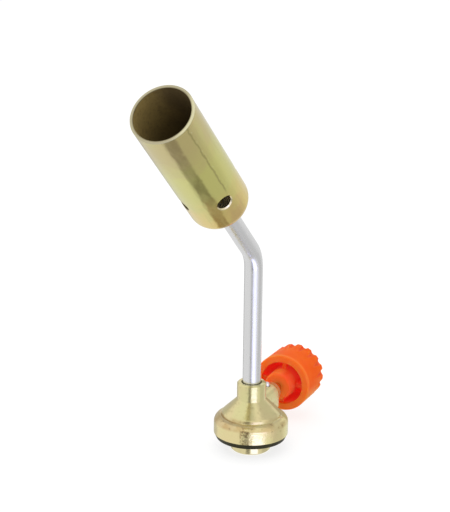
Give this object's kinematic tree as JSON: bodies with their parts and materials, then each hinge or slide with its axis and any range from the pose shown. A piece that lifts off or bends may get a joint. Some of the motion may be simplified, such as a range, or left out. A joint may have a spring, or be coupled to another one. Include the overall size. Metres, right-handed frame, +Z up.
{
  "type": "gas torch head",
  "caption": "Screw-on gas torch head: flared brass valve body with side knob, bent chromed stem and slanted tubular burner with air holes.",
  "frame": {"origin": "on the neck axis, at the mouth of the cartridge thread", "axes": "+Z up the neck axis out of the cartridge, the burner leans towards -X, the valve knob points along +X, the object is symmetric about the XZ plane but for the turn of its air holes"},
  "size_m": [0.1461, 0.0326, 0.1743],
  "materials": {
    "plated_brass": "bright yellow-green passivated plating",
    "bare_brass": "turned",
    "tube_chrome": "bright drawn",
    "screw_chrome": "bright",
    "plain_steel": "satin",
    "knob_plastic": "moulded, semi-gloss",
    "black_rubber": "matt"
  },
  "bodies": {
    "torch": {"threaded_insert": "plated_brass", "cartridge_seal": "black_rubber", "opening_pin": "bare_brass", "inlet_filter": "bare_brass", "cartridge_gasket": "black_rubber", "valve_body": "plated_brass", "gland_bush": "bare_brass", "lock_screw": "screw_chrome", "stem_seal": "black_rubber", "stem_tube": "tube_chrome", "burner_shell": "plated_brass", "burner_washer": "plain_steel", "burner_nut": "bare_brass", "gas_jet": "bare_brass", "jet_filter": "bare_brass", "flame_holder": "plain_steel"},
    "seal_ring": {"spindle_o_ring": "black_rubber"},
    "knob": {"valve_spindle": "bare_brass", "valve_knob": "knob_plastic", "knob_screw": "plain_steel", "knob_washer": "plain_steel"}
  },
  "joints": [
    {"name": "valve_lift", "type": "slide", "parent": "torch", "child": "seal_ring", "axis": [1, 0, 0], "range_m": [0, 0.0012]},
    {"name": "knob_turn", "type": "hinge", "parent": "seal_ring", "child": "knob", "pos_m": [0.03, 0, 0.0188], "axis": [1, 0, 0], "range_deg": [0, 540]}
  ],
  "couplings": [
    {"joint": "knob_turn", "follows": "valve_lift", "rad_per_m": 7854}
  ]
}
